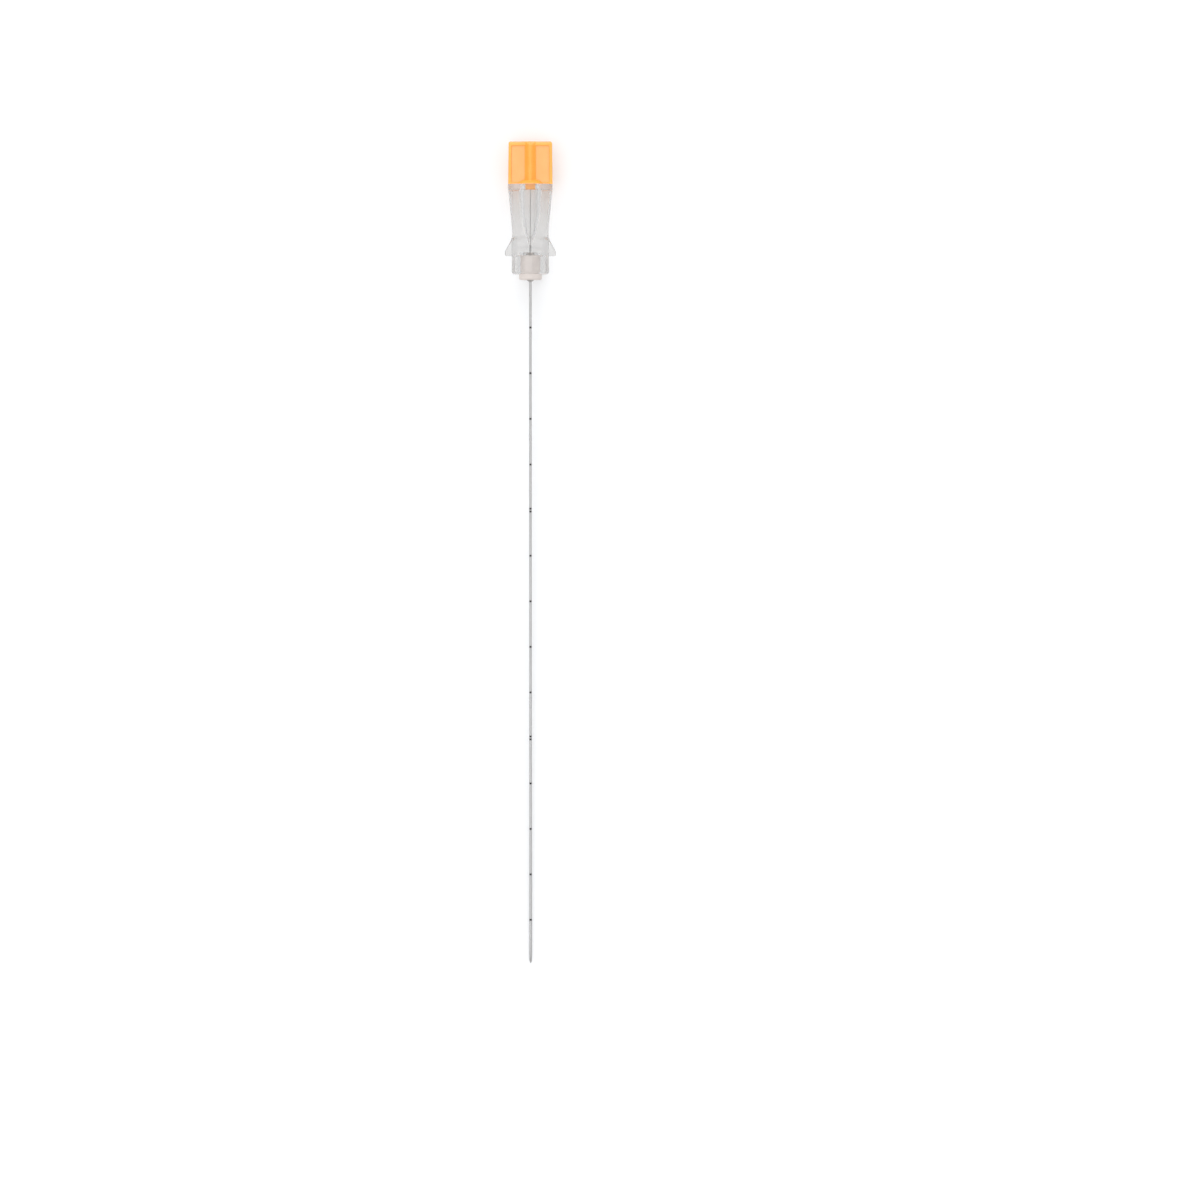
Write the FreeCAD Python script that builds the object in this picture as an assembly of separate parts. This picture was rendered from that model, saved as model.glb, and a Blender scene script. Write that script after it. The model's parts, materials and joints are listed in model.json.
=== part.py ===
import FreeCAD, Part
import math
import os

# Spinal needle with its stylet, in millimetres.
# Each piece is made about the needle's own axis, which runs along Y: y = 0 is the holder's outer
# end, the point is at -Y, the cap at +Y, and the bevel faces +Z. The whole needle is then laid
# down as it rests, on the hub's foot and the point.

# Cannula and stylet wire
free_length = 150.0
cannula_radius = 0.26
lumen_radius = 0.14
wire_clearance = 0.02
bevel_angle = 17.0
facet_angle = 24.0
facet_turn = 42.0
facet_share = 0.45
grinding_block = 8.0

# Depth marks, counted from the point
mark_spacing = 10.0
mark_width = 0.38
mark_depth = 0.015
pair_every = 5
pair_pitch = 0.62
mark_margin = 5.0

# Cannula holder
holder_rim_radius = 2.5
holder_rim_length = 1.22
holder_rim_round = 0.4
holder_stem_length = 4.0
pocket_radius = 2.22
holder_clearance = 0.02
bond_gap = 0.01

# Adhesive
plug_thickness = 0.65
plug_gap = 0.02
bubble_radius = 0.9
bead_radius = 0.8
bead_length = 0.4
bead_end_radius = 0.34

# Hub
face_gap = 0.03
collar_radius = 4.08
collar_length = 4.0
collar_round = 0.55
foot_width = 8.3
foot_depth = 8.4
foot_height = 1.05
foot_round = 0.06
waist_width = 8.0
waist_depth = 6.5
waist_height = 4.7
grip_width = 9.7
grip_depth = 6.7
grip_swell = 1.25
body_length = 14.35
flange_width = 9.8
flange_depth = 7.5
flange_thickness = 1.3
flange_round = 0.2
flat_face_radius = 30.0
lens_face_radius = 6.4
side_face_radius = 30.0
corner_radius = 1.8
floor_thickness = 1.05

# Wings
wing_span = 11.1
wing_thickness = 2.0
wing_height = 5.15
wing_tip_height = 0.95
wing_corner = 0.3
wing_edge_round = 0.3
wing_root = 1.0
wing_hollow = 0.38
wing_flare = 0.64
wing_flare_fall = 0.71

# Luer socket and guide funnel
socket_mouth_radius = 2.15
socket_depth = 6.0
luer_taper = 0.06
socket_mouth_bevel = 0.15

# Stylet cap
cap_height = 9.35
cap_width_bottom = 9.7
cap_width_top = 9.5
cap_thickness = 2.2
cap_corner = 0.5
cap_top_round = 0.8
panel_depth = 0.25
panel_under_rib = 0.12
rim_width = 0.6
panel_top_border = 0.95
panel_bottom_border = 0.35
panel_corner = 0.35
rib_base_width = 2.5
rib_top_width = 0.5
rib_crest_round = 0.36
rib_height = 1.35
rib_end_slope = 0.35
dome_radius = 3.0
dome_height = 1.35
boss_radius = 1.65
boss_length = 1.1
boss_round = 0.25
wire_grip = 6.0

# How far cutting shapes reach past a face, and how near an edge must lie to count as on a plane
overrun = 1.0
nearness = 0.01

# Places along the axis. The free length of the needle counts from the adhesive bead to the point.
cannula_length = free_length + bead_length
collar_end = holder_rim_length + face_gap
foot_end = collar_end + collar_length
flange_start = foot_end + body_length
mouth = flange_start + flange_thickness
holder_top = collar_end + holder_stem_length
pocket_floor = holder_top + 2 * plug_gap + plug_thickness
cannula_top = pocket_floor + floor_thickness
waist = foot_end + waist_height
cap_foot = mouth + face_gap
cap_top = cap_foot + cap_height
boss_end = cap_foot - boss_length
wire_top = boss_end + wire_grip

wire_radius = lumen_radius - wire_clearance
bore_radius = cannula_radius + bond_gap
stem_radius = pocket_radius - holder_clearance

Vector = FreeCAD.Vector
axis_up = Vector(0, 1, 0)


def turned(edges):
    """A solid of revolution about the axis from closed edges in the XY plane, where x is the radius."""
    face = Part.Face(Part.Wire(edges))
    return face.revolve(Vector(0, 0, 0), axis_up, 360)


def line(x0, y0, x1, y1, z=0.0):
    return Part.LineSegment(Vector(x0, y0, z), Vector(x1, y1, z)).toShape()


def polygon(*points):
    """Closed straight edges through points (x, y)."""
    ends = points[1:] + points[:1]
    return [line(*start, *end) for start, end in zip(points, ends)]


def rounded(x0, y0, x1, y1, centre_x, centre_y, radius, z=0.0):
    """A short arc about a centre, from one end to the other."""
    mid = Vector((x0 + x1) / 2 - centre_x, (y0 + y1) / 2 - centre_y, 0)
    mid.normalize()
    mid = Vector(centre_x, centre_y, z) + mid * radius
    return Part.Arc(Vector(x0, y0, z), mid, Vector(x1, y1, z)).toShape()


def rod(radius, y0, y1):
    return Part.makeCylinder(radius, y1 - y0, Vector(0, y0, 0), axis_up)


def cone(radius0, radius1, y0, y1):
    return Part.makeCone(radius0, radius1, y1 - y0, Vector(0, y0, 0), axis_up)


# Cannula, stylet wire and depth marks
def ground_away():
    """What grinding takes from the tube and wire: the bevel and its two side facets."""
    half = grinding_block / 2
    point = Vector(0, -cannula_length, -cannula_radius)
    block = Part.makeBox(grinding_block, grinding_block, grinding_block, Vector(-half, -half, 0))
    bevel_slope = math.tan(math.radians(bevel_angle))
    facet_slope = math.tan(math.radians(facet_angle)) / math.cos(math.radians(facet_turn))
    facet_start = facet_share * 2 * cannula_radius / bevel_slope
    facet_point = point + Vector(0, 0, facet_start * (bevel_slope - facet_slope))
    bevel = block.copy()
    bevel.rotate(Vector(0, 0, 0), Vector(1, 0, 0), bevel_angle)
    bevel.translate(point)
    cuts = bevel
    for side in (-1, 1):
        facet = block.copy()
        facet.rotate(Vector(0, 0, 0), Vector(1, 0, 0), facet_angle)
        facet.rotate(Vector(0, 0, 0), axis_up, side * facet_turn)
        facet.translate(facet_point)
        cuts = cuts.fuse(facet)
    return cuts


def mark_places():
    """The middle of each ring, as a distance from the point."""
    places = []
    for number in range(1, int((cannula_length - mark_margin) / mark_spacing) + 1):
        middle = number * mark_spacing
        if number % pair_every == 0:
            places += [middle - pair_pitch / 2, middle + pair_pitch / 2]
        else:
            places.append(middle)
    return places


def mark_rings():
    rings = []
    for place in mark_places():
        low = place - cannula_length - mark_width / 2
        outer = rod(cannula_radius, low, low + mark_width)
        rings.append(outer.cut(rod(cannula_radius - mark_depth, low, low + mark_width)))
    return Part.makeCompound(rings)


def cannula():
    tube = rod(cannula_radius, -cannula_length, cannula_top)
    tube = tube.cut(rod(lumen_radius, -cannula_length, cannula_top))
    return tube.cut(ground_away()).cut(mark_rings())


def stylet_wire():
    wire = rod(wire_radius, -cannula_length, wire_top)
    return wire.cut(ground_away())


# Holder and adhesive
def cannula_holder():
    edge = holder_rim_round
    profile = [
        line(bore_radius, 0, holder_rim_radius - edge, 0),
        rounded(holder_rim_radius - edge, 0, holder_rim_radius, edge, holder_rim_radius - edge, edge, edge),
        line(holder_rim_radius, edge, holder_rim_radius, holder_rim_length),
        line(holder_rim_radius, holder_rim_length, stem_radius, holder_rim_length),
        line(stem_radius, holder_rim_length, stem_radius, holder_top),
        line(stem_radius, holder_top, bore_radius, holder_top),
        line(bore_radius, holder_top, bore_radius, 0),
    ]
    return turned(profile)


def adhesive_plug():
    """A washer of clear adhesive whose inner wall is hollowed by a ring of trapped air."""
    low = holder_top + plug_gap
    high = low + plug_thickness
    middle = (low + high) / 2
    ring_centre = bubble_radius - plug_thickness / 2
    bubble = [(ring_centre, high), (bubble_radius, middle), (ring_centre, low)]
    profile = [
        Part.Arc(*(Vector(x, y, 0) for x, y in bubble)).toShape(),
        line(ring_centre, low, stem_radius, low),
        line(stem_radius, low, stem_radius, high),
        line(stem_radius, high, ring_centre, high),
    ]
    return turned(profile)


def adhesive_bead():
    return turned(
        polygon(
            (bore_radius, -plug_gap),
            (bead_radius, -plug_gap),
            (bead_end_radius, -bead_length),
            (bore_radius, -bead_length),
        )
    )


# Hub
def across(half_width, half_depth, face_curve, y):
    """A rounded section across the axis: eight tangent arcs, with front and back faces of one curvature."""
    face_radius = 1 / face_curve
    face_centre = half_depth - face_radius
    side_centre = half_width - side_face_radius
    to_face = face_radius - corner_radius
    to_side = side_face_radius - corner_radius
    apart = math.hypot(side_centre, face_centre)
    along = (to_face**2 - to_side**2 + apart**2) / (2 * apart)
    off = math.sqrt(to_face**2 - along**2)
    corner_x = (along * side_centre + off * -face_centre) / apart
    corner_z = face_centre + (-along * face_centre - off * side_centre) / apart
    face_x = corner_x * face_radius / to_face
    face_z = face_centre + (corner_z - face_centre) * face_radius / to_face
    side_x = side_centre + (corner_x - side_centre) * side_face_radius / to_side
    side_z = corner_z * side_face_radius / to_side
    face_turn = math.atan2(face_z - corner_z, face_x - corner_x)
    side_turn = math.atan2(side_z - corner_z, side_x - corner_x)
    turn = (face_turn + side_turn) / 2
    round_x = corner_x + corner_radius * math.cos(turn)
    round_z = corner_z + corner_radius * math.sin(turn)
    arcs = [
        ((-face_x, face_z), (0, half_depth), (face_x, face_z)),
        ((face_x, face_z), (round_x, round_z), (side_x, side_z)),
        ((side_x, side_z), (half_width, 0), (side_x, -side_z)),
        ((side_x, -side_z), (round_x, -round_z), (face_x, -face_z)),
        ((face_x, -face_z), (0, -half_depth), (-face_x, -face_z)),
        ((-face_x, -face_z), (-round_x, -round_z), (-side_x, -side_z)),
        ((-side_x, -side_z), (-half_width, 0), (-side_x, side_z)),
        ((-side_x, side_z), (-round_x, round_z), (-face_x, face_z)),
    ]
    edges = [Part.Arc(*(Vector(x, y, z) for x, z in arc)).toShape() for arc in arcs]
    return Part.Wire(edges)


def smooth(share):
    return share * share * (3 - 2 * share)


def mix(start, end, share):
    return start + (end - start) * share


def grip_section(y):
    """The hub's section at height y: it flares down to the foot and swells up to the mouth."""
    flat = 1 / flat_face_radius
    lens = 1 / lens_face_radius
    if y < waist:
        share = smooth((waist - y) / (waist_height - foot_height))
        half_width = mix(waist_width, foot_width, share) / 2
        half_depth = mix(waist_depth, foot_depth, share) / 2
        return across(half_width, half_depth, mix(lens, flat, share), y)
    share = (y - waist) / (flange_start - waist)
    half_width = mix(waist_width, grip_width, share**grip_swell) / 2
    half_depth = mix(waist_depth, grip_depth, share) / 2
    return across(half_width, half_depth, lens, y)


def prism(half_width, half_depth, low, high, edge_round, ends):
    """A straight length of section, with the edges rounded at the listed ends."""
    wire = across(half_width, half_depth, 1 / flat_face_radius, low)
    solid = Part.Face(wire).extrude(Vector(0, high - low, 0))
    edges = []
    for edge in solid.Edges:
        box = edge.BoundBox
        if any(abs(box.YMin - y) + abs(box.YMax - y) < nearness for y in ends):
            edges.append(edge)
    return solid.makeFillet(edge_round, edges)


def wing(side):
    """One thin fin, from the waist out to its tip and square across at the foot."""
    tip = wing_span / 2
    root = foot_width / 2 - wing_root
    top = foot_end + wing_height
    shoulder = foot_end + wing_tip_height
    start = (waist_width / 2 - wing_edge_round, top)
    leave = (waist_width / 2, mix(top, shoulder, wing_hollow))
    arrive = (mix(waist_width / 2, tip, wing_flare), mix(top, shoulder, wing_flare_fall))
    below = -wing_thickness / 2
    corner = wing_corner
    curve = Part.BezierCurve()
    curve.setPoles([Vector(side * x, y, below) for x, y in (start, leave, arrive, (tip, shoulder))])
    edges = [
        curve.toShape(),
        line(side * tip, shoulder, side * tip, foot_end + corner, below),
        rounded(
            side * tip,
            foot_end + corner,
            side * (tip - corner),
            foot_end,
            side * (tip - corner),
            foot_end + corner,
            corner,
            below,
        ),
        line(side * (tip - corner), foot_end, side * root, foot_end, below),
        line(side * root, foot_end, side * root, top, below),
        line(side * root, top, side * start[0], top, below),
    ]
    fin = Part.Face(Part.Wire(edges)).extrude(Vector(0, 0, wing_thickness))
    boxes = [(edge, edge.BoundBox) for edge in fin.Edges]
    rim = [edge for edge, box in boxes if box.ZLength < nearness and side * box.Center.x > root + nearness]
    return fin.makeFillet(wing_edge_round, rim)


def collar():
    edge = collar_round
    inner = collar_radius - edge
    straight = collar_end + edge
    top = foot_end + foot_height / 2
    profile = [
        line(0, collar_end, inner, collar_end),
        rounded(inner, collar_end, collar_radius, straight, inner, straight, edge),
        line(collar_radius, straight, collar_radius, top),
        line(collar_radius, top, 0, top),
        line(0, top, 0, collar_end),
    ]
    return turned(profile)


def hub_hollows():
    """Pocket for the holder, hole for the cannula, guide funnel and Luer socket."""
    socket_end = mouth - socket_depth
    socket_end_radius = socket_mouth_radius - socket_depth * luer_taper / 2
    bevel = socket_mouth_bevel
    narrow = socket_mouth_radius - bevel
    wide = socket_mouth_radius + bevel
    hollows = rod(pocket_radius, collar_end - overrun, pocket_floor)
    hollows = hollows.fuse(rod(bore_radius, pocket_floor - overrun, cannula_top))
    hollows = hollows.fuse(cone(bore_radius, socket_end_radius, cannula_top, socket_end))
    hollows = hollows.fuse(cone(socket_end_radius, socket_mouth_radius, socket_end, mouth))
    return hollows.fuse(cone(narrow, wide, mouth - bevel, mouth + bevel))


def hub():
    foot_top = foot_end + foot_height
    foot = prism(foot_width / 2, foot_depth / 2, foot_end, foot_top, foot_round, [foot_end])
    lower = [mix(foot_top, waist, step / 4) for step in range(5)]
    upper = [mix(waist, flange_start, step / 4) for step in range(1, 5)]
    grip = Part.makeLoft([grip_section(y) for y in lower + upper], True, False, False)
    flange_ends = [flange_start, mouth]
    flange = prism(flange_width / 2, flange_depth / 2, flange_start, mouth, flange_round, flange_ends)
    shell = foot.fuse([grip, flange, wing(-1), wing(1), collar()])
    return shell.cut(hub_hollows()).removeSplitter()


# Stylet cap
def cap_plate():
    """The grip plate: slightly wider at the foot, round over its top edge."""
    half_top = cap_width_top / 2
    half_bottom = cap_width_bottom / 2
    back = -cap_thickness / 2
    edges = [
        line(-half_bottom, cap_foot, half_bottom, cap_foot, back),
        line(half_bottom, cap_foot, half_top, cap_top, back),
        line(half_top, cap_top, -half_top, cap_top, back),
        line(-half_top, cap_top, -half_bottom, cap_foot, back),
    ]
    plate = Part.Face(Part.Wire(edges)).extrude(Vector(0, 0, cap_thickness))
    at_top = [edge for edge in plate.Edges if edge.BoundBox.YMin > cap_top - nearness]
    plate = plate.makeFillet(cap_corner, [edge for edge in at_top if edge.BoundBox.ZLength > nearness])
    at_top = [edge for edge in plate.Edges if edge.BoundBox.YMin > cap_top - nearness]
    return plate.makeFillet(cap_top_round, [edge for edge in at_top if edge.BoundBox.ZLength < nearness])


def panel_cut(side, face):
    """One recess in one face of the plate, between the rib and the rim."""
    inner = rib_base_width / 2 - panel_under_rib
    outer = cap_width_top / 2 - rim_width
    low = cap_foot + panel_bottom_border
    high = cap_top - panel_top_border
    floor = cap_thickness / 2 - panel_depth
    box = Part.makeBox(outer - inner, high - low, 2 * panel_depth, Vector(inner, low, floor))
    upright = [edge for edge in box.Edges if edge.BoundBox.ZLength > panel_depth]
    box = box.makeFillet(panel_corner, upright)
    if side < 0:
        box = box.mirror(Vector(0, 0, 0), Vector(1, 0, 0))
    if face < 0:
        box = box.mirror(Vector(0, 0, 0), Vector(0, 0, 1))
    return box


def cap_rib():
    """The central rib of both faces: sloping sides, a narrow crest and a sloping upper end."""
    floor = cap_thickness / 2 - panel_depth
    crest = floor + rib_height
    base = rib_base_width / 2
    narrow = rib_top_width / 2
    section = [
        Vector(-base, cap_foot, 0),
        Vector(-base, cap_foot, floor),
        Vector(-narrow, cap_foot, crest),
        Vector(narrow, cap_foot, crest),
        Vector(base, cap_foot, floor),
        Vector(base, cap_foot, 0),
        Vector(-base, cap_foot, 0),
    ]
    rib = Part.Face(Part.makePolygon(section)).extrude(Vector(0, cap_height - cap_top_round / 2, 0))
    at_crest = [edge for edge in rib.Edges if edge.BoundBox.ZMin > crest - nearness]
    crests = [edge for edge in at_crest if edge.BoundBox.YLength > base]
    rib = rib.makeFillet(rib_crest_round, crests)
    slope_foot = cap_thickness / 2 - cap_top_round / 2
    slope = [
        Vector(-base, cap_top, slope_foot),
        Vector(-base, cap_top - cap_top_round / 2 - rib_end_slope, crest),
        Vector(-base, cap_top, crest + overrun),
        Vector(-base, cap_top, slope_foot),
    ]
    rib = rib.cut(Part.Face(Part.makePolygon(slope)).extrude(Vector(2 * base, 0, 0)))
    return rib.fuse(rib.mirror(Vector(0, 0, 0), Vector(0, 0, 1)))


def cap_dome():
    """The round foot that covers the hub's mouth, domed above."""
    sphere_radius = (dome_radius**2 + dome_height**2) / (2 * dome_height)
    centre = cap_foot + dome_height - sphere_radius
    sphere = Part.makeSphere(sphere_radius, Vector(0, centre, 0))
    return sphere.common(rod(2 * dome_radius, cap_foot, cap_foot + 2 * dome_height))


def cap_boss():
    """The short plug below the plate that carries the wire."""
    inner = boss_radius - boss_round
    straight = boss_end + boss_round
    profile = [
        line(0, boss_end, inner, boss_end),
        rounded(inner, boss_end, boss_radius, straight, inner, straight, boss_round),
        line(boss_radius, straight, boss_radius, cap_foot + boss_round),
        line(boss_radius, cap_foot + boss_round, 0, cap_foot + boss_round),
        line(0, cap_foot + boss_round, 0, boss_end),
    ]
    return turned(profile)


def stylet_cap():
    plate = cap_plate()
    for side in (-1, 1):
        for face in (-1, 1):
            plate = plate.cut(panel_cut(side, face))
    cap = plate.fuse([cap_rib(), cap_dome(), cap_boss()])
    return cap.cut(rod(wire_radius, boss_end - overrun, wire_top)).removeSplitter()


pieces = {
    "cannula": cannula(),
    "depth_marks": mark_rings(),
    "stylet_wire": stylet_wire(),
    "cannula_holder": cannula_holder(),
    "adhesive_plug": adhesive_plug(),
    "adhesive_bead": adhesive_bead(),
    "hub": hub(),
    "stylet_cap": stylet_cap(),
}

# The needle lies on the foot's lower edge and on its point
rise = foot_depth / 2 - cannula_radius
rest_angle = math.degrees(math.atan2(rise, cannula_length + foot_end + foot_round))
for shape in pieces.values():
    shape.rotate(Vector(0, 0, 0), Vector(1, 0, 0), rest_angle)
whole = Part.makeCompound(list(pieces.values())).optimalBoundingBox(False, False)
centred = Vector(0, -(whole.YMin + whole.YMax) / 2, -whole.ZMin)

os.makedirs("parts", exist_ok=True)
for name, shape in pieces.items():
    shape.translate(centred)
    shape.exportStep("parts/" + name + ".step")
    print(name, "solids", len(shape.Solids), "valid", shape.isValid(), "mm3", round(shape.Volume, 3))
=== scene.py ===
import json
import math

import bmesh
import bpy
from mathutils import Matrix, Vector


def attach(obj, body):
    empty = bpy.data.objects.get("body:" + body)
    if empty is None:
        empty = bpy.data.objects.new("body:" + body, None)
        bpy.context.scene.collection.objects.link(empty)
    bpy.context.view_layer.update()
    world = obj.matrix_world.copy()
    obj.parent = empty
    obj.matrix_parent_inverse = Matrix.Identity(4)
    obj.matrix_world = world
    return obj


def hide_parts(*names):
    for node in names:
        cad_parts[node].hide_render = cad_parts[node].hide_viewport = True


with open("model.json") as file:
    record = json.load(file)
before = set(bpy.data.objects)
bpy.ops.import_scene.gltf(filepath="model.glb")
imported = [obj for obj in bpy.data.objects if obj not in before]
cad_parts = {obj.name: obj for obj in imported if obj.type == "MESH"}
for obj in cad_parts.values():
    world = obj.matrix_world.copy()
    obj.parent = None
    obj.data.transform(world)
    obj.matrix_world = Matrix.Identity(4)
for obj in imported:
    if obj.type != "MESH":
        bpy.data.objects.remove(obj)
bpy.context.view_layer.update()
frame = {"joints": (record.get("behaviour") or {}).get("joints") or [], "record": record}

# A spinal needle with its stylet. Sizes are in millimetres in the needle's own frame: its axis is Y,
# y = 0 is the holder's outer end, the point is at -Y, the cap at +Y and the bevel faces +Z.
# piece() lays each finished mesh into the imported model's frame, in metres.
MM = 0.001

# Cannula and stylet wire
free_length = 150.0
cannula_radius = 0.26
lumen_radius = 0.14
wire_clearance = 0.02
wire_radius = lumen_radius - wire_clearance
bevel_angle = 17.0
facet_angle = 24.0
facet_turn = 42.0
facet_share = 0.45

# Depth marks, counted from the point
mark_spacing = 10.0
mark_width = 0.38
mark_depth = 0.015
pair_every = 5
pair_pitch = 0.62
mark_margin = 5.0
mark_floor = cannula_radius - mark_depth

# Cannula holder
holder_rim_radius = 2.5
holder_rim_length = 1.22
holder_rim_round = 0.4
holder_stem_length = 4.0
pocket_radius = 2.22
holder_clearance = 0.02
bond_gap = 0.01
stem_radius = pocket_radius - holder_clearance
bore_radius = cannula_radius + bond_gap

# Adhesive
plug_thickness = 0.65
plug_gap = 0.02
bubble_radius = 0.9
bead_radius = 0.8
bead_length = 0.4
bead_end_radius = 0.34

# Hub
face_gap = 0.03
collar_radius = 4.08
collar_length = 4.0
collar_round = 0.55
foot_width = 8.3
foot_depth = 8.4
foot_height = 1.05
foot_round = 0.06
waist_width = 8.0
waist_depth = 6.5
waist_height = 4.7
grip_width = 9.7
grip_depth = 6.7
grip_swell = 1.25
body_length = 14.35
flange_width = 9.8
flange_depth = 7.5
flange_thickness = 1.3
flange_round = 0.2
flat_face_radius = 30.0
lens_face_radius = 6.4
side_face_radius = 30.0
corner_radius = 1.8
floor_thickness = 1.05

# Wings
wing_span = 11.1
wing_thickness = 2.0
wing_height = 5.15
wing_tip_height = 0.95
wing_corner = 0.3
wing_edge_round = 0.3
wing_root = 1.0
wing_hollow = 0.38
wing_flare = 0.64
wing_flare_fall = 0.71

# Luer socket and guide funnel
socket_mouth_radius = 2.15
socket_depth = 6.0
luer_taper = 0.06
socket_mouth_bevel = 0.15

# Stylet cap
cap_height = 9.35
cap_width_bottom = 9.7
cap_width_top = 9.5
cap_thickness = 2.2
cap_corner = 0.5
cap_top_round = 0.8
cap_side_round = 0.12
panel_depth = 0.25
panel_wall = 0.1
rim_width = 0.6
panel_top_border = 0.95
panel_bottom_border = 0.35
panel_corner = 0.35
rib_base_width = 2.5
rib_top_width = 0.5
rib_height = 1.35
rib_end_slope = 0.35
rib_crest_round = 0.36
rib_end_round = 0.3
dome_radius = 3.0
dome_height = 1.35
boss_radius = 1.65
boss_length = 1.1
boss_round = 0.25
wire_grip = 6.0
blend_width = 0.16

# Places along the axis. The free length of the needle counts from the adhesive bead to the point.
cannula_length = free_length + bead_length
collar_end = holder_rim_length + face_gap
foot_end = collar_end + collar_length
flange_start = foot_end + body_length
mouth = flange_start + flange_thickness
holder_top = collar_end + holder_stem_length
pocket_floor = holder_top + 2 * plug_gap + plug_thickness
cannula_top = pocket_floor + floor_thickness
waist = foot_end + waist_height
cap_foot = mouth + face_gap
cap_top = cap_foot + cap_height
boss_end = cap_foot - boss_length
wire_top = boss_end + wire_grip

# Photograph: its scale, and the needle's place in its frame
picture_side = 1200
pixels_per_mm = 4.565
needle_axis_px = 530.4
holder_end_px = 280.0
camera_distance = 1150.0
sensor = 36.0

# Sides of the round meshes, and the angle from which an edge stays sharp
tube_sides = 96
wire_sides = 64
holder_sides = 128
bead_sides = 96
plug_sides = 160
hollow_sides = 160
collar_sides = 192
boss_sides = 96
sharp_angle = 30

# The range that the noise mostly keeps to, the inputs of a Mix node that hold its two numbers and its
# two colours, and the rays that light what is behind a piece
noise_span = (0.3, 0.7)
number_inputs = (2, 3)
colour_inputs = (6, 7)
shadow_rays = ("Is Shadow Ray",)
all_lighting_rays = ("Is Shadow Ray", "Is Diffuse Ray")

# The needle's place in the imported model, from the joint's axis and the socket's mount
slide = frame["joints"][0]["axis"]
socket = next(m for m in frame["record"]["mounts"] if m["name"] == "luer_socket")
lie = math.atan2(slide[2], slide[1])
origin = Vector(socket["pos_m"]) - Vector(slide) * mouth * MM
to_frame = Matrix.Translation(origin) @ Matrix.Rotation(lie, 4, "X") @ Matrix.Scale(MM, 4)


# Mesh helpers
def arc(centre_x, centre_y, radius, start, end, steps):
    """Points of an arc, from one angle to another in degrees, both ends included."""
    turns = [math.radians(start + (end - start) * k / steps) for k in range(steps + 1)]
    return [(centre_x + radius * math.cos(a), centre_y + radius * math.sin(a)) for a in turns]


def mix(start, end, share):
    return start + (end - start) * share


def smooth(share):
    return share * share * (3 - 2 * share)


def spread(stops, counts):
    """Values between stops, with so many steps in each span."""
    values = [stops[0]]
    for start, end, count in zip(stops, stops[1:], counts):
        values += [mix(start, end, (k + 1) / count) for k in range(count)]
    return values


def rounded_off(into, radius):
    """How much a quarter-round edge takes away, so far in from the edge."""
    if into >= radius:
        return 0
    return radius - math.sqrt(max(radius**2 - (radius - into) ** 2, 0))


def bridge(mesh, ring, following):
    """Quads between two rings of as many vertices, or triangles where a ring is one point."""
    for k in range(len(ring)):
        corners = list(dict.fromkeys((ring[k], ring[k - 1], following[k - 1], following[k])))
        if len(corners) > 2:
            mesh.faces.new(corners)


def strip(mesh, upper, lower):
    """Quads between two open rows of as many vertices."""
    for k in range(len(upper) - 1):
        mesh.faces.new((upper[k], upper[k + 1], lower[k + 1], lower[k]))


def lofted(sections):
    """A closed mesh through rings of as many corners, with flat ends."""
    mesh = bmesh.new()
    rings = [[mesh.verts.new(corner) for corner in section] for section in sections]
    for ring, following in zip(rings, rings[1:]):
        bridge(mesh, ring, following)
    mesh.faces.new(rings[0])
    mesh.faces.new(rings[-1])
    bmesh.ops.recalc_face_normals(mesh, faces=mesh.faces)
    return mesh


def turned(profile, sides):
    """A closed mesh turned about the axis from a closed outline of (radius, height) points."""
    mesh = bmesh.new()
    rings = []
    for radius, height in profile:
        if radius == 0:
            rings.append([mesh.verts.new((0, height, 0))] * sides)
            continue
        turns = [2 * math.pi * k / sides for k in range(sides)]
        rings.append([mesh.verts.new((radius * math.cos(a), height, radius * math.sin(a))) for a in turns])
    for ring, following in zip(rings, rings[1:] + rings[:1]):
        bridge(mesh, ring, following)
    bmesh.ops.recalc_face_normals(mesh, faces=mesh.faces)
    return mesh


def joined(mesh, other, operation):
    """The union or difference of two closed meshes."""
    objects = []
    for part in (mesh, other):
        data = bpy.data.meshes.new("solid")
        part.to_mesh(data)
        part.free()
        objects.append(bpy.data.objects.new("solid", data))
        bpy.context.scene.collection.objects.link(objects[-1])
    cut = objects[0].modifiers.new("cut", "BOOLEAN")
    cut.operation = operation
    cut.solver = "EXACT"
    cut.object = objects[1]
    result = bmesh.new()
    result.from_object(objects[0], bpy.context.evaluated_depsgraph_get())
    for leftover in objects:
        data = leftover.data
        bpy.data.objects.remove(leftover)
        bpy.data.meshes.remove(data)
    return result


def piece(name, mesh, body, node_names, material):
    """Turns a finished mesh into a piece that stands for CAD nodes and rides on their body."""
    bmesh.ops.transform(mesh, matrix=to_frame, verts=mesh.verts)
    data = bpy.data.meshes.new(name)
    mesh.to_mesh(data)
    mesh.free()
    data.shade_smooth()
    data.set_sharp_from_angle(angle=math.radians(sharp_angle))
    made = bpy.data.objects.new(name, data)
    bpy.context.scene.collection.objects.link(made)
    even = made.modifiers.new("even", "WEIGHTED_NORMAL")
    even.keep_sharp = True
    evened = bpy.data.meshes.new_from_object(made.evaluated_get(bpy.context.evaluated_depsgraph_get()))
    made.modifiers.clear()
    made.data = evened
    bpy.data.meshes.remove(data)
    evened.name = name
    evened.materials.clear()
    evened.materials.append(material)
    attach(made, body)
    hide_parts(*node_names)
    return made


# Shader helpers
def new_material(name):
    made = bpy.data.materials.new(name)
    made.use_nodes = True
    made.node_tree.nodes.clear()
    return made, made.node_tree


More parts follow.
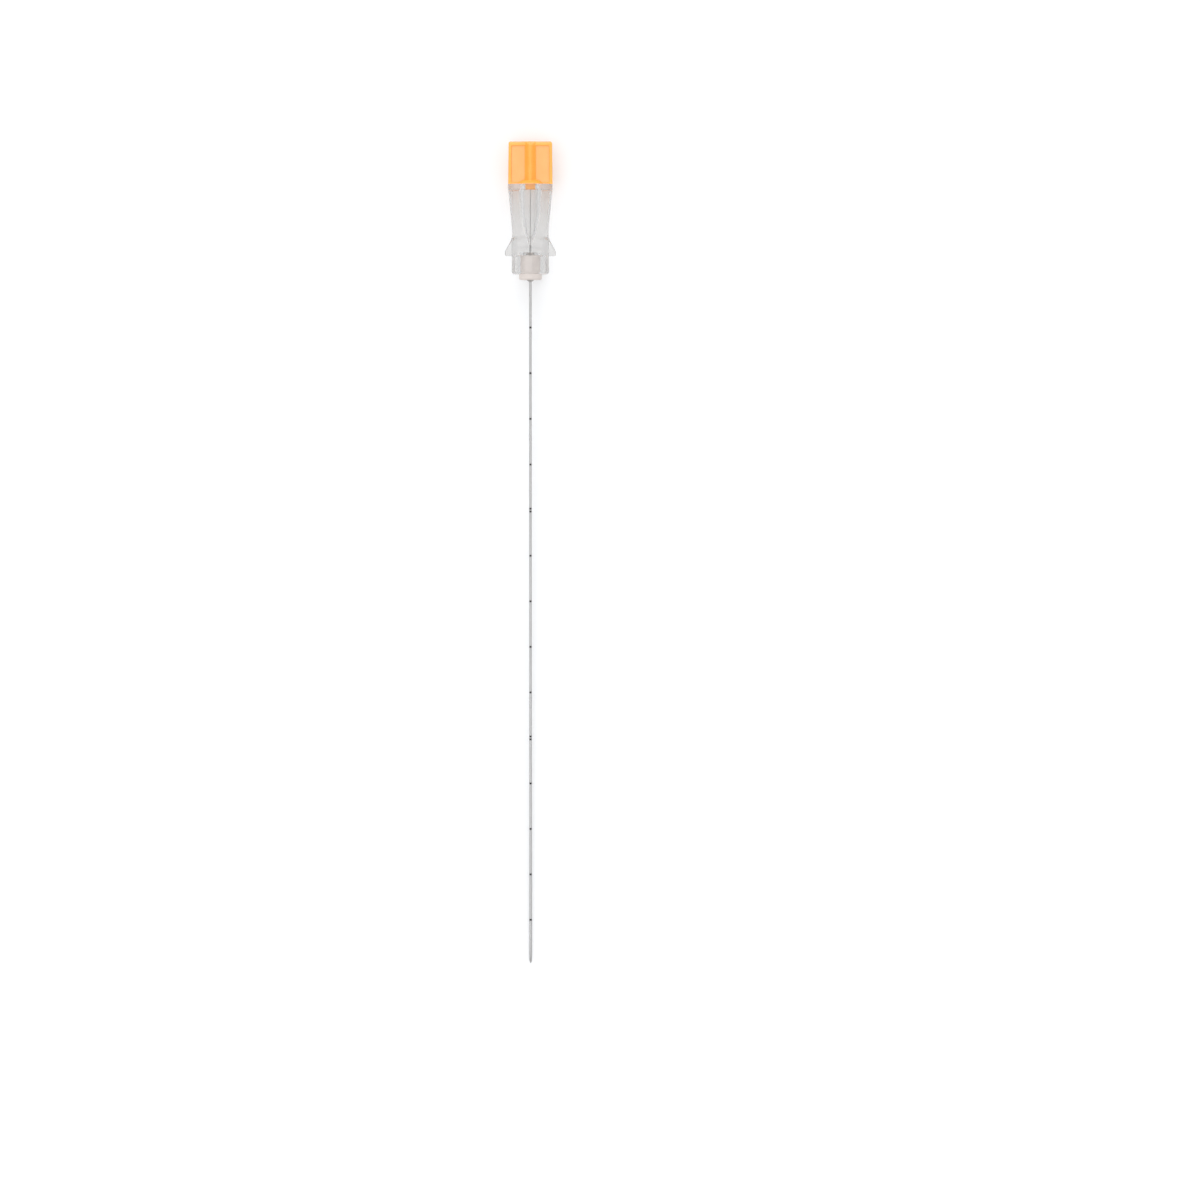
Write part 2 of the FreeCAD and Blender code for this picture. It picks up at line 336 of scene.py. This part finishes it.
def add(tree, kind, values=None, **settings):
    """A node of a kind, with its settings and its inputs' values or links."""
    made = tree.nodes.new(kind)
    for key, value in settings.items():
        setattr(made, key, value)
    for key, value in (values or {}).items():
        if isinstance(value, bpy.types.NodeSocket):
            tree.links.new(value, made.inputs[key])
        else:
            made.inputs[key].default_value = value
    return made


def grain(tree, per_mm, detail, stretch=(1, 1, 1)):
    """Noise that stays on the piece, with so many grains to a millimetre along each axis."""
    place = add(tree, "ShaderNodeTexCoord")
    scale = [per_mm * s / MM for s in stretch]
    spaced = add(tree, "ShaderNodeMapping", {"Vector": place.outputs["Object"], "Scale": scale})
    noise = add(tree, "ShaderNodeTexNoise", {"Vector": spaced.outputs[0], "Scale": 1.0, "Detail": detail})
    return noise.outputs["Fac"]


def ranged(tree, value, span, low=0.0, high=1.0, easing="LINEAR"):
    """A value brought from a span to another range and held at its ends. The span may run downwards."""
    values = {"Value": value, "From Min": span[0], "From Max": span[1], "To Min": low, "To Max": high}
    return add(tree, "ShaderNodeMapRange", values, interpolation_type=easing).outputs["Result"]


def uneven(tree, noise, low=0.0, high=1.0):
    """Noise brought from its usual middle range to another range."""
    return ranged(tree, noise, noise_span, low, high)


def tinted(tree, value, first, second):
    """One colour where a value is 0 and another where it is 1. A colour is three numbers or a socket."""
    ends = [c if isinstance(c, bpy.types.NodeSocket) else (*c, 1) for c in (first, second)]
    made = add(tree, "ShaderNodeMix", {"Factor": value, **dict(zip(colour_inputs, ends))}, data_type="RGBA")
    return made.outputs[2]


def bumped(tree, value, height_mm):
    made = add(tree, "ShaderNodeBump", {"Height": value, "Distance": height_mm * MM, "Strength": 1.0})
    return made.outputs["Normal"]


def let_light_through(tree, shader, colour, rays):
    """The material by sight, and a plain clear shade of a colour for the rays that light what is behind."""
    path = add(tree, "ShaderNodeLightPath")
    passing = path.outputs[rays[0]]
    for kind in rays[1:]:
        either = add(tree, "ShaderNodeMath", {0: passing, 1: path.outputs[kind]}, operation="MAXIMUM")
        passing = either.outputs[0]
    shade = add(tree, "ShaderNodeBsdfTransparent", {"Color": (*colour, 1)})
    return add(tree, "ShaderNodeMixShader", {0: passing, 1: shader.outputs[0], 2: shade.outputs[0]})


def finish_with(tree, shader, volume=None):
    made = add(tree, "ShaderNodeOutputMaterial", {"Surface": shader.outputs[0]})
    if volume:
        tree.links.new(volume.outputs[0], made.inputs["Volume"])


# Materials
def clear_plastic():
    """Clear moulded plastic, slightly smoky, with faint flow lines."""
    made, tree = new_material("clear_plastic")
    flow = grain(tree, 0.5, 2.0, (1, 0.3, 1))
    fine = grain(tree, 2.2, 3.0)
    shine = add(
        tree,
        "ShaderNodeBsdfPrincipled",
        {
            "Base Color": (0.86, 0.86, 0.86, 1),
            "Roughness": uneven(tree, fine, 0.015, 0.05),
            "IOR": 1.53,
            "Transmission Weight": 1.0,
            "Normal": bumped(tree, flow, 0.0006),
        },
    )
    smoke = add(tree, "ShaderNodeVolumeAbsorption", {"Color": (0.5, 0.5, 0.5, 1), "Density": 0.014 / MM})
    finish_with(tree, let_light_through(tree, shine, (0.99, 0.99, 0.99), all_lighting_rays), smoke)
    return made


def panel_sheen_mask(tree):
    """Where the painted sheen goes: 1 on the floors of the cap's grip panels and 0 elsewhere, worked out in
    the needle's own frame.
    """
    place = add(tree, "ShaderNodeTexCoord")
    own_frame = {"Location": origin, "Rotation": (lie, 0.0, 0.0), "Scale": (MM, MM, MM)}
    values = {"Vector": place.outputs["Object"], **own_frame}
    upright = add(tree, "ShaderNodeMapping", values, vector_type="TEXTURE")
    along = add(tree, "ShaderNodeSeparateXYZ", {0: upright.outputs[0]})
    panel_floor = cap_thickness / 2 - panel_depth
    panel_side = cap_width_top / 2 - rim_width
    depth = add(tree, "ShaderNodeMath", {0: along.outputs["Z"]}, operation="ABSOLUTE")
    width = add(tree, "ShaderNodeMath", {0: along.outputs["X"]}, operation="ABSOLUTE")
    deep = ranged(tree, depth.outputs[0], (panel_floor + panel_depth * 0.6, panel_floor + panel_depth * 0.1))
    within = ranged(tree, width.outputs[0], (panel_side + panel_wall, panel_side))
    beyond = ranged(tree, along.outputs["Y"], (cap_foot, cap_foot + panel_bottom_border))
    share = add(tree, "ShaderNodeMath", {0: deep, 1: within}, operation="MULTIPLY")
    share = add(tree, "ShaderNodeMath", {0: share.outputs[0], 1: beyond}, operation="MULTIPLY")
    return share.outputs[0]


def orange_plastic():
    """Satin orange plastic, finely grained and thin enough to pass some light; the panels are paler by a
    painted sheen.
    """
    made, tree = new_material("orange_plastic")
    cloud = grain(tree, 0.35, 2.0)
    fine = grain(tree, 7.0, 3.0)
    moulded = tinted(tree, uneven(tree, cloud), (0.94, 0.405, 0.06), (0.97, 0.435, 0.075))
    # A paler orange on the panel floors: painted sheen, the overhead light that those flat faces mirror.
    painted_sheen = tinted(tree, uneven(tree, cloud), (0.95, 0.425, 0.125), (0.98, 0.455, 0.145))
    shine = add(
        tree,
        "ShaderNodeBsdfPrincipled",
        {
            "Base Color": tinted(tree, panel_sheen_mask(tree), moulded, painted_sheen),
            "Roughness": uneven(tree, fine, 0.2, 0.3),
            "IOR": 1.5,
            "Normal": bumped(tree, fine, 0.004),
        },
    )
    finish_with(tree, let_light_through(tree, shine, (0.36, 0.34, 0.32), shadow_rays))
    return made


def ivory_plastic():
    """Milky ivory plastic with a matt moulded skin."""
    made, tree = new_material("ivory_plastic")
    cloud = grain(tree, 0.6, 2.0)
    fine = grain(tree, 9.0, 3.0)
    shine = add(
        tree,
        "ShaderNodeBsdfPrincipled",
        {
            "Base Color": tinted(tree, uneven(tree, cloud), (0.64, 0.58, 0.55), (0.69, 0.625, 0.59)),
            "Roughness": uneven(tree, fine, 0.35, 0.5),
            "IOR": 1.49,
            "Normal": bumped(tree, fine, 0.003),
        },
    )
    finish_with(tree, let_light_through(tree, shine, (0.6, 0.58, 0.56), shadow_rays))
    return made


def drawn_steel(name, dark, light):
    """Drawn stainless steel: fine lines along the tube and slow changes of shine."""
    made, tree = new_material(name)
    lines = grain(tree, 30.0, 2.0, (1, 0.01, 1))
    slow = grain(tree, 0.15, 2.0)
    shine = add(
        tree,
        "ShaderNodeBsdfPrincipled",
        {
            "Base Color": tinted(tree, uneven(tree, lines), dark, light),
            "Metallic": 1.0,
            "Roughness": uneven(tree, slow, 0.24, 0.34),
            "Normal": bumped(tree, lines, 0.0008),
        },
    )
    finish_with(tree, shine)
    return made


def mark_paint():
    """Dark matt oxide of the depth rings."""
    made, tree = new_material("mark_oxide")
    mottle = grain(tree, 12.0, 3.0)
    shine = add(
        tree,
        "ShaderNodeBsdfPrincipled",
        {
            "Base Color": tinted(tree, uneven(tree, mottle), (0.008, 0.007, 0.007), (0.02, 0.018, 0.018)),
            "Roughness": uneven(tree, mottle, 0.5, 0.7),
            "Specular IOR Level": 0.2,
            "Normal": bumped(tree, mottle, 0.002),
        },
    )
    finish_with(tree, shine)
    return made


def grey_adhesive():
    """Cured adhesive: smooth, smoky and slightly uneven."""
    made, tree = new_material("grey_adhesive")
    cloud = grain(tree, 2.5, 2.0)
    shine = add(
        tree,
        "ShaderNodeBsdfPrincipled",
        {
            "Base Color": tinted(tree, uneven(tree, cloud), (0.30, 0.28, 0.27), (0.42, 0.40, 0.38)),
            "Roughness": uneven(tree, cloud, 0.12, 0.22),
            "IOR": 1.5,
            "Normal": bumped(tree, cloud, 0.01),
        },
    )
    finish_with(tree, shine)
    return made


def clear_adhesive():
    """Clear adhesive, darker and less clear where it rings the cannula."""
    waviness = 0.3 * MM
    dark_to_clear = (1.0 * MM, 1.35 * MM)
    made, tree = new_material("clear_adhesive")
    cloud = grain(tree, 2.5, 2.0)
    place = add(tree, "ShaderNodeTexCoord")
    middle = to_frame @ Vector((0, holder_top + plug_gap + plug_thickness / 2, 0))
    away = add(tree, "ShaderNodeVectorMath", {0: place.outputs["Object"], 1: middle}, operation="DISTANCE")
    values = {0: cloud, 1: waviness, 2: away.outputs["Value"]}
    distance = add(tree, "ShaderNodeMath", values, operation="MULTIPLY_ADD")
    fade = ranged(tree, distance.outputs[0], dark_to_clear, easing="SMOOTHSTEP")
    shine = add(
        tree,
        "ShaderNodeBsdfPrincipled",
        {
            "Base Color": tinted(tree, fade, (0.40, 0.37, 0.34), (0.88, 0.88, 0.88)),
            "Roughness": uneven(tree, cloud, 0.03, 0.1),
            "IOR": 1.5,
            "Transmission Weight": ranged(tree, fade, (0.0, 1.0), 0.35, 1.0),
            "Normal": bumped(tree, cloud, 0.002),
        },
    )
    finish_with(tree, let_light_through(tree, shine, (0.9, 0.9, 0.9), all_lighting_rays))
    return made


# Cannula, stylet wire and depth marks
def ground_height(x, z):
    """How far from the point grinding leaves the tube standing, at a place (x, z) across it."""
    bevel_slope = math.tan(math.radians(bevel_angle))
    facet_slope = math.tan(math.radians(facet_angle)) / math.cos(math.radians(facet_turn))
    across_facet = math.tan(math.radians(facet_turn))
    start = facet_share * 2 * cannula_radius / bevel_slope
    above = z + cannula_radius
    bevel = above / bevel_slope
    facet = start + (above - start * bevel_slope + abs(x) * across_facet) / facet_slope
    return max(bevel, facet) - cannula_length


def mark_spans():
    """The lower and upper edge of each depth ring along the axis."""
    spans = []
    for number in range(1, int((cannula_length - mark_margin) / mark_spacing) + 1):
        middle = number * mark_spacing - cannula_length
        places = [middle]
        if number % pair_every == 0:
            places = [middle - pair_pitch / 2, middle + pair_pitch / 2]
        spans += [(place - mark_width / 2, place + mark_width / 2) for place in places]
    return spans


def ground_tube(inner, outer, heights, sides, end_steps):
    """A tube or rod whose lower end is ground to the point. heights are (radius, height) up its outside."""
    mesh = bmesh.new()
    turns = [2 * math.pi * k / sides for k in range(sides)]

    def ring(radius, height=None):
        if radius == 0:
            top = ground_height(0, 0) if height is None else height
            return [mesh.verts.new((0, top, 0))] * sides
        places = [(radius * math.cos(a), radius * math.sin(a)) for a in turns]
        return [mesh.verts.new((x, ground_height(x, z) if height is None else height, z)) for x, z in places]

    rings = [ring(mix(inner, outer, k / end_steps)) for k in range(end_steps + 1)]
    rings += [ring(radius, height) for radius, height in heights]
    rings.append(ring(inner, heights[-1][1]))
    for first, second in zip(rings, rings[1:] + rings[:1]):
        bridge(mesh, first, second)
    bmesh.ops.recalc_face_normals(mesh, faces=mesh.faces)
    return mesh


def cannula_mesh():
    heights = []
    for low, high in mark_spans():
        heights += [(cannula_radius, low), (mark_floor, low), (mark_floor, high), (cannula_radius, high)]
    heights.append((cannula_radius, cannula_top))
    return ground_tube(lumen_radius, cannula_radius, heights, tube_sides, 5)


def wire_mesh():
    return ground_tube(0, wire_radius, [(wire_radius, wire_top)], wire_sides, 6)


def mark_mesh():
    rings = bmesh.new()
    for low, high in mark_spans():
        profile = [(mark_floor, low), (cannula_radius, low), (cannula_radius, high), (mark_floor, high)]
        ring = turned(profile, tube_sides)
        data = bpy.data.meshes.new("ring")
        ring.to_mesh(data)
        ring.free()
        rings.from_mesh(data)
        bpy.data.meshes.remove(data)
    return rings


# Holder and adhesive bead
def holder_mesh():
    edge = holder_rim_round
    inner = holder_rim_radius - edge
    profile = [(bore_radius, 0)]
    profile += arc(inner, edge, edge, -90, 0, 10)
    profile += [
        (holder_rim_radius, holder_rim_length),
        (stem_radius, holder_rim_length),
        (stem_radius, holder_top),
        (bore_radius, holder_top),
    ]
    return turned(profile, holder_sides)


def bead_mesh():
    """The bead where the cannula leaves the holder: a drop that draws in towards the tube."""
    steps = 10
    profile = [(bore_radius, -plug_gap)]
    for k in range(steps + 1):
        share = k / steps
        height = -plug_gap - (bead_length - plug_gap) * share
        profile.append((mix(bead_radius, bead_end_radius, smooth(share)), height))
    profile.append((bore_radius, -bead_length))
    return turned(profile, bead_sides)


def plug_mesh():
    """The washer of clear adhesive in the pocket's roof, hollowed by a ring of trapped air."""
    low = holder_top + plug_gap
    high = low + plug_thickness
    bubble = plug_thickness / 2
    profile = arc(bubble_radius - bubble, low + bubble, bubble, -90, 90, 20)
    profile += [(stem_radius, high), (stem_radius, low)]
    return turned(profile, plug_sides)


# Hub
def across(half_width, half_depth, face_curve, steps=12):
    """A rounded section of eight tangent arcs, as (x, z) points all the way round."""
    face_radius = 1 / face_curve
    face_centre = half_depth - face_radius
    side_centre = half_width - side_face_radius
    to_face = face_radius - corner_radius
    to_side = side_face_radius - corner_radius
    apart = math.hypot(side_centre, face_centre)
    along = (to_face**2 - to_side**2 + apart**2) / (2 * apart)
    off = math.sqrt(to_face**2 - along**2)
    corner_x = (along * side_centre + off * -face_centre) / apart
    corner_z = face_centre + (-along * face_centre - off * side_centre) / apart
    face_turn = math.degrees(math.atan2(corner_z - face_centre, corner_x))
    side_turn = math.degrees(math.atan2(corner_z, corner_x - side_centre))
    quarter = arc(0, face_centre, face_radius, 90, face_turn, steps)
    quarter += arc(corner_x, corner_z, corner_radius, face_turn, side_turn, steps)[1:]
    quarter += arc(side_centre, 0, side_face_radius, side_turn, 0, steps)[1:]
    right = quarter + [(x, -z) for x, z in reversed(quarter[:-1])]
    return right + [(-x, z) for x, z in reversed(right[1:-1])]


def grip_section(y):
    """The hub's section at height y: it flares down to the foot and swells up to the mouth."""
    flat = 1 / flat_face_radius
    lens = 1 / lens_face_radius
    if y < waist:
        share = smooth((waist - y) / (waist_height - foot_height))
        half_width = mix(waist_width, foot_width, share) / 2
        half_depth = mix(waist_depth, foot_depth, share) / 2
        return across(half_width, half_depth, mix(lens, flat, share))
    share = (y - waist) / (flange_start - waist)
    half_width = mix(waist_width, grip_width, share**grip_swell) / 2
    half_depth = mix(waist_depth, grip_depth, share) / 2
    return across(half_width, half_depth, lens)


def edge_rows(width, depth, height, edge, steps, up):
    """Rows of (height, section) round a plate's edge: up is 1 for its lower edge and -1 for its upper."""
    rows = []
    for inset, rise in arc(0, 0, edge, 0, 90, steps):
        shrink = edge - rise
        section = across(width / 2 - shrink, depth / 2 - shrink, 1 / flat_face_radius)
        rows.append((height + up * (edge - inset), section))
    return rows[::up]


def body_mesh():
    """Foot, grip and flange as one shell through sections across the axis."""
    heights = spread([foot_end + foot_height, waist, flange_start], [24, 40])
    rows = edge_rows(foot_width, foot_depth, foot_end, foot_round, 3, 1)
    rows += [(y, grip_section(y)) for y in heights]
    rows += edge_rows(flange_width, flange_depth, flange_start, flange_round, 5, 1)
    rows += edge_rows(flange_width, flange_depth, mouth, flange_round, 5, -1)
    return lofted([[(x, y, z) for x, z in section] for y, section in rows])


def wing_outline(steps=28):
    """The right fin's outline in the XY plane, from its root at the top, down and out to its tip."""
    tip = wing_span / 2
    top = foot_end + wing_height
    shoulder = foot_end + wing_tip_height
    root = foot_width / 2 - wing_root
    poles = [
        (waist_width / 2 - wing_edge_round, top),
        (waist_width / 2, mix(top, shoulder, wing_hollow)),
        (mix(waist_width / 2, tip, wing_flare), mix(top, shoulder, wing_flare_fall)),
        (tip, shoulder),
    ]
    outline = [(root, top)]
    for k in range(steps + 1):
        t = k / steps
        weights = ((1 - t) ** 3, 3 * t * (1 - t) ** 2, 3 * t * t * (1 - t), t**3)
        outline.append(tuple(sum(w * pole[i] for w, pole in zip(weights, poles)) for i in (0, 1)))
    outline += arc(tip - wing_corner, foot_end + wing_corner, wing_corner, 0, -90, 6)
    outline.append((root, foot_end))
    return outline


def inward(outline, distance):
    """The outline moved inwards, except for the root's two ends, which only follow along the root."""
    points = [Vector(corner) for corner in outline]
    runs = [(after - before).normalized() for before, after in zip(points, points[1:])]
    normals = [Vector((run.y, -run.x)) for run in runs]
    moved = []
    for k, here in enumerate(points):
        beside = normals[max(k - 1, 0) : k + 1]
        bend = sum(beside, Vector((0, 0))).normalized()
        # At a sharp bend the corner moves by twice the distance at most
        stretch = 1 / max(bend.dot(beside[0]), 0.5)
        moved.append(tuple(here + bend * distance * stretch))
    return moved


def wing_mesh(side):
    """One fin, to the right for side 1 and to the left for -1, with its two long edges rounded."""
    outline = wing_outline()
    straight = wing_thickness / 2 - wing_edge_round
    front = [(wing_edge_round - x, z) for x, z in arc(0, straight, wing_edge_round, 0, 90, 6)]
    levels = [(inset, -z) for inset, z in reversed(front)] + front
    return lofted([[(side * x, y, z) for x, y in inward(outline, inset)] for inset, z in levels])


def collar_mesh():
    inner = collar_radius - collar_round
    profile = [(0, collar_end)]
    profile += arc(inner, collar_end + collar_round, collar_round, -90, 0, 10)
    profile += [(collar_radius, foot_end + foot_height / 2), (0, foot_end + foot_height / 2)]
    return turned(profile, collar_sides)


def hollow_mesh():
    """Everything that is air inside the hub: pocket, bore, guide funnel and socket."""
    socket_end = mouth - socket_depth
    socket_end_radius = socket_mouth_radius - socket_depth * luer_taper / 2
    beyond = 1.0
    profile = [
        (0, collar_end - beyond),
        (pocket_radius, collar_end - beyond),
        (pocket_radius, pocket_floor),
        (bore_radius, pocket_floor),
        (bore_radius, cannula_top),
        (socket_end_radius, socket_end),
        (socket_mouth_radius - luer_taper / 2 * socket_mouth_bevel, mouth - socket_mouth_bevel),
        (socket_mouth_radius + socket_mouth_bevel, mouth + socket_mouth_bevel),
        (socket_mouth_radius + socket_mouth_bevel, mouth + beyond),
        (0, mouth + beyond),
    ]
    return turned(profile, hollow_sides)


def hub_mesh():
    shell = body_mesh()
    for addition in (collar_mesh(), wing_mesh(1), wing_mesh(-1)):
        shell = joined(shell, addition, "UNION")
    return joined(shell, hollow_mesh(), "DIFFERENCE")


# Stylet cap
def softly_over(first, second, width):
    """The higher of two heights, with a small fillet where they cross."""
    share = max(width - abs(first - second), 0) / width
    return max(first, second) + share * share * width / 4


def softly_under(first, second, width):
    return -softly_over(-first, -second, width)


def panel_share(x, y):
    """1 on the floor of a grip panel, 0 outside it, and between them on its wall."""
    left = rib_base_width / 4
    right = cap_width_top / 2 - rim_width
    low = cap_foot + panel_bottom_border
    high = cap_top - panel_top_border
    out_x = abs(x - (left + right) / 2) - (right - left) / 2 + panel_corner
    out_y = abs(y - (low + high) / 2) - (high - low) / 2 + panel_corner
    outside = math.hypot(max(out_x, 0), max(out_y, 0)) + min(max(out_x, out_y), 0) - panel_corner
    return smooth(min(max(0.5 - outside / panel_wall, 0), 1))


def rib_at(x, y):
    """The central rib: a narrow crest, two sloping flanks and an end that falls towards the cap's top."""
    half = cap_thickness / 2
    floor = half - panel_depth
    crest = floor + rib_height
    flank = floor + (rib_base_width / 2 - x) * rib_height / (rib_base_width - rib_top_width) * 2
    end_drop = crest - (half - cap_top_round / 2)
    end_run = rib_end_slope + cap_top_round / 2
    end = crest + (cap_top - y - end_run) * end_drop / end_run
    return softly_under(softly_under(crest, flank, rib_crest_round), end, rib_end_round)


def cap_height_at(x, y, edge):
    """How far the cap's front face stands from its middle plane; edge is the distance in from its side."""
    x = abs(x)
    face = cap_thickness / 2 - rounded_off(edge, cap_side_round) - rounded_off(cap_top - y, cap_top_round)
    face -= panel_depth * panel_share(x, y)
    height = softly_over(face, rib_at(x, y), blend_width)
    sphere = (dome_radius**2 + dome_height**2) / (2 * dome_height)
    rise = y - (cap_foot + dome_height - sphere)
    inside = sphere**2 - x**2 - rise**2
    if inside > 0:
        height = softly_over(height, math.sqrt(inside), blend_width)
    return height


def eased(start, end, count):
    """Values that begin close together, for a rounding that starts upright."""
    return [mix(start, end, 1 - math.cos(math.radians(90 * k / count))) for k in range(count)]


def cap_mesh():
    """The cap's front face as a sheet of heights over its outline, mirrored to the back and closed."""
    half = cap_width_bottom / 2
    panel_side = half - rim_width
    rib_foot = rib_base_width / 2
    columns = [half - d for d in eased(0, cap_side_round, 5)]
    columns += spread(
        [
            half - cap_side_round,
            panel_side + panel_wall,
            panel_side - 2 * panel_wall,
            rib_foot + 2 * panel_wall,
            rib_foot - panel_wall,
            rib_top_width / 2,
            0,
        ],
        [4, 6, 16, 8, 12, 8],
    )
    columns += [-x for x in reversed(columns[:-1])]
    rows = [cap_top - d for d in eased(0, cap_top_round, 12)]
    rows += spread(
        [
            cap_top - cap_top_round,
            cap_top - panel_top_border - 2 * panel_wall,
            cap_foot + dome_height + 4 * panel_wall,
            cap_foot + panel_bottom_border + panel_wall,
            cap_foot,
        ],
        [10, 40, 24, 12],
    )
    mesh = bmesh.new()
    front, back = [], []
    for y in rows:
        width = mix(cap_width_bottom, cap_width_top, (y - cap_foot) / cap_height) / 2
        width -= rounded_off(cap_top - y, cap_corner)
        places = [x / half * width for x in columns]
        for side, sheet in ((1, front), (-1, back)):
            heights = [side * cap_height_at(x, y, width - abs(x)) for x in places]
            sheet.append([mesh.verts.new((x, y, z)) for x, z in zip(places, heights)])
    for sheet in (front, back):
        for upper, lower in zip(sheet, sheet[1:]):
            strip(mesh, upper, lower)
    for k in (0, -1):
        strip(mesh, [row[k] for row in front], [row[k] for row in back])
    strip(mesh, front[0], back[0])
    mesh.faces.new(front[-1] + back[-1][::-1])
    bmesh.ops.recalc_face_normals(mesh, faces=mesh.faces)
    boss = [(0, cap_foot + boss_round), (boss_radius, cap_foot + boss_round)]
    boss += arc(boss_radius - boss_round, boss_end + boss_round, boss_round, 0, -90, 8)
    boss.append((0, boss_end))
    return joined(mesh, turned(boss, boss_sides), "UNION")


# The pieces, each on its body and in place of its CAD node
steel = drawn_steel("drawn_steel", (0.40, 0.40, 0.40), (0.48, 0.48, 0.48))
wire_steel = drawn_steel("wire_steel", (0.45, 0.44, 0.43), (0.52, 0.51, 0.50))
piece("cannula_tube", cannula_mesh(), "needle", ["cannula"], steel)
piece("depth_rings", mark_mesh(), "needle", ["depth_marks"], mark_paint())
piece("stylet_rod", wire_mesh(), "stylet", ["stylet_wire"], wire_steel)
piece("holder", holder_mesh(), "needle", ["cannula_holder"], ivory_plastic())
piece("exit_bead", bead_mesh(), "needle", ["adhesive_bead"], grey_adhesive())
piece("clear_washer", plug_mesh(), "needle", ["adhesive_plug"], clear_adhesive())
piece("clear_hub", hub_mesh(), "needle", ["hub"], clear_plastic())
piece("cap", cap_mesh(), "stylet", ["stylet_cap"], orange_plastic())


# Floor, light and camera
def make_floor():
    """White paper that keeps the needle's shadow. Clear and shiny pieces show it with painted shade, darker
    the farther it lies beside the needle.
    """
    side = 3.0
    near = 3.0 * MM
    far = 8.0 * MM
    glow_share = 0.15
    mesh = bmesh.new()
    bmesh.ops.create_grid(mesh, x_segments=1, y_segments=1, size=side / 2)
    data = bpy.data.meshes.new("floor")
    mesh.to_mesh(data)
    mesh.free()
    floor = bpy.data.objects.new("floor", data)
    bpy.context.scene.collection.objects.link(floor)
    made, tree = new_material("white_floor")
    path = add(tree, "ShaderNodeLightPath")
    by_camera = path.outputs["Is Camera Ray"]
    place = add(tree, "ShaderNodeTexCoord")
    aside = add(tree, "ShaderNodeSeparateXYZ", {0: place.outputs["Object"]})
    away = add(tree, "ShaderNodeMath", {0: aside.outputs["X"]}, operation="ABSOLUTE")
    distance = ranged(tree, away.outputs[0], (near, far))
    # Painted shade for reflections and refractions: the floor they show is greyer, more so away from the
    # needle.
    shade_in_reflections = tinted(tree, distance, (0.84, 0.84, 0.84), (0.67, 0.67, 0.67))
    lit = tinted(tree, path.outputs["Is Glossy Ray"], (0.97, 0.97, 0.97), shade_in_reflections)
    colour = tinted(tree, by_camera, lit, (0.895, 0.905, 0.92))
    paper = add(tree, "ShaderNodeBsdfDiffuse", {"Color": colour})
    glow = add(tree, "ShaderNodeEmission", {"Color": (1, 1, 1, 1), "Strength": 1.0})
    share = add(tree, "ShaderNodeMath", {0: by_camera, 1: glow_share}, operation="MULTIPLY")
    both = add(tree, "ShaderNodeMixShader", {0: share.outputs[0], 1: paper.outputs[0], 2: glow.outputs[0]})
    finish_with(tree, both)
    data.materials.append(made)


def switched(tree, kind_of_ray, otherwise, value):
    """A value for one kind of ray, and otherwise another."""
    ends = dict(zip(number_inputs, (otherwise, value)))
    return add(tree, "ShaderNodeMix", {"Factor": kind_of_ray, **ends}, data_type="FLOAT").outputs["Result"]


def light_patch(tree, direction, aim, span, low, high):
    """A soft-edged patch of light in the sky: low away from the aim and high near it."""
    facing = add(tree, "ShaderNodeVectorMath", {0: direction, 1: aim}, operation="DOT_PRODUCT")
    return ranged(tree, facing.outputs["Value"], span, low, high, "SMOOTHSTEP")


def make_world():
    """A wide soft light overhead in a pale room. Clear pieces show the room, darker towards its foot."""
    world = bpy.data.worlds.new("studio")
    bpy.context.scene.world = world
    world.use_nodes = True
    tree = world.node_tree
    tree.nodes.clear()
    direction = add(tree, "ShaderNodeTexCoord").outputs["Generated"]
    overhead = light_patch(tree, direction, (-0.2, 0.0, 0.98), (0.89, 0.945), 0.88, 2.0)
    backlight = light_patch(tree, direction, (0.0, 0.87, 0.5), (0.86, 0.95), 0.0, 1.4)
    lights = add(tree, "ShaderNodeMath", {0: overhead, 1: backlight}, operation="ADD")
    height = add(tree, "ShaderNodeSeparateXYZ", {0: direction}).outputs["Z"]
    room = ranged(tree, height, (0.05, 0.45), 0.5, 0.9, "SMOOTHSTEP")
    path = add(tree, "ShaderNodeLightPath")
    through = switched(tree, path.outputs["Is Transmission Ray"], lights.outputs[0], room)
    seen = switched(tree, path.outputs["Is Camera Ray"], through, 1.0)
    back = add(tree, "ShaderNodeBackground", {"Color": (1, 1, 1, 1), "Strength": seen})
    add(tree, "ShaderNodeOutputWorld", {"Surface": back.outputs[0]})


def make_camera():
    """Straight down, framed as the photograph is."""
    width = picture_side / pixels_per_mm
    across_mm = (picture_side / 2 - needle_axis_px) / pixels_per_mm
    up_mm = (holder_end_px - picture_side / 2) / pixels_per_mm
    data = bpy.data.cameras.new("camera")
    data.sensor_width = sensor
    data.lens = sensor * camera_distance / width
    data.clip_end = 10
    camera = bpy.data.objects.new("camera", data)
    bpy.context.scene.collection.objects.link(camera)
    camera.location = (across_mm * MM, origin.y + up_mm * MM, origin.z + camera_distance * MM)
    bpy.context.scene.camera = camera


make_floor()
make_world()
make_camera()
scene = bpy.context.scene
scene.view_settings.view_transform = "Standard"
# Light that is reflected many times inside the clear hub still comes out
scene.cycles.max_bounces = 24
scene.cycles.glossy_bounces = 20
scene.cycles.transmission_bounces = 20
